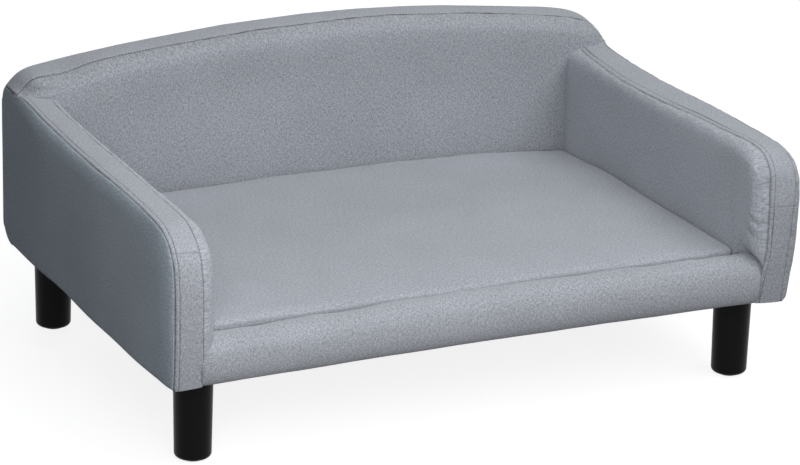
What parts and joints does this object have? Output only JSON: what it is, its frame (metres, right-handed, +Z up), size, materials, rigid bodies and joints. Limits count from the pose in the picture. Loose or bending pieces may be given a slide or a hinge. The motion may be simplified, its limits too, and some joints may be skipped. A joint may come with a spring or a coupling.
{
  "type": "dog sofa bed",
  "caption": "Low upholstered pet sofa with an arched backrest, two padded arms, a padded front rail, a loose boxed seat cushion and round tapered legs.",
  "frame": {"origin": "on the floor, under the middle of the body's plan", "axes": "+X along the width, to the right as a viewer in front of the sofa sees it; +Y towards the backrest; +Z up"},
  "size_m": [0.9, 0.62, 0.4],
  "materials": {
    "cover_cloth": "light blue-grey woven cloth with a fine melange fleck, matte",
    "foam": "upholstery foam and fibre wadding",
    "pine": "planed softwood, unfinished",
    "plywood": "thin plywood, unfinished",
    "fibreboard": "hard fibreboard, smooth face",
    "leg_plastic": "black, satin moulded",
    "glide_plastic": "black nylon",
    "zinc_steel": "zinc plated",
    "dust_cloth": "black non-woven dust cloth",
    "zip_tape": "grey zip tape with a moulded coil",
    "zip_metal": "grey lacquered slider"
  },
  "bodies": {
    "sofa_frame": {"arm_band_left": "cover_cloth", "arm_band_right": "cover_cloth", "arm_front_foam_left": "foam", "arm_front_foam_right": "foam", "arm_front_posts": "pine", "arm_inner_board_left": "fibreboard", "arm_inner_board_right": "fibreboard", "arm_inner_cover_left": "cover_cloth", "arm_inner_cover_right": "cover_cloth", "arm_inner_foam_left": "foam", "arm_inner_foam_right": "foam", "arm_outer_board_left": "fibreboard", "arm_outer_board_right": "fibreboard", "arm_rear_posts": "pine", "arm_top_foam_left": "foam", "arm_top_foam_right": "foam", "arm_top_rail_left": "pine", "arm_top_rail_right": "pine", "arm_wadding_left": "foam", "arm_wadding_right": "foam", "back_arch_rail": "pine", "back_band": "cover_cloth", "back_centre_post": "pine", "back_front_board": "fibreboard", "back_front_cover": "cover_cloth", "back_front_foam": "foam", "back_posts": "pine", "back_rear_board": "fibreboard", "back_rear_cover": "cover_cloth", "back_top_foam": "foam", "back_wadding": "foam", "corner_blocks": "pine", "deck_screws": "zinc_steel", "deck_slats": "pine", "dust_sheet": "dust_cloth", "dust_sheet_staples": "zinc_steel", "front_board": "pine", "glides": "glide_plastic", "joint_bolts": "zinc_steel", "joint_tee_nuts": "zinc_steel", "joint_washers": "zinc_steel", "leg_bolts": "zinc_steel", "leg_front_left": "leg_plastic", "leg_front_right": "leg_plastic", "leg_rear_left": "leg_plastic", "leg_rear_right": "leg_plastic", "leg_tee_nuts": "zinc_steel", "rail_cover": "cover_cloth", "rail_foam": "foam", "rear_rail": "pine", "seat_deck": "plywood", "side_cover_left": "cover_cloth", "side_cover_right": "cover_cloth", "side_rail_left": "pine", "side_rail_right": "pine"},
    "seat_cushion": {"cushion_cover": "cover_cloth", "cushion_foam": "foam", "zip_chain": "zip_tape"},
    "zip_slider": {"zip_slider": "zip_metal"}
  },
  "joints": [
    {"name": "cushion_lift", "type": "slide", "parent": "sofa_frame", "child": "seat_cushion", "axis": [0, 0, 1], "range_m": [0, 0.26]},
    {"name": "zip_slide", "type": "slide", "parent": "seat_cushion", "child": "zip_slider", "axis": [-1, 0, 0], "range_m": [0, 0.58]}
  ]
}
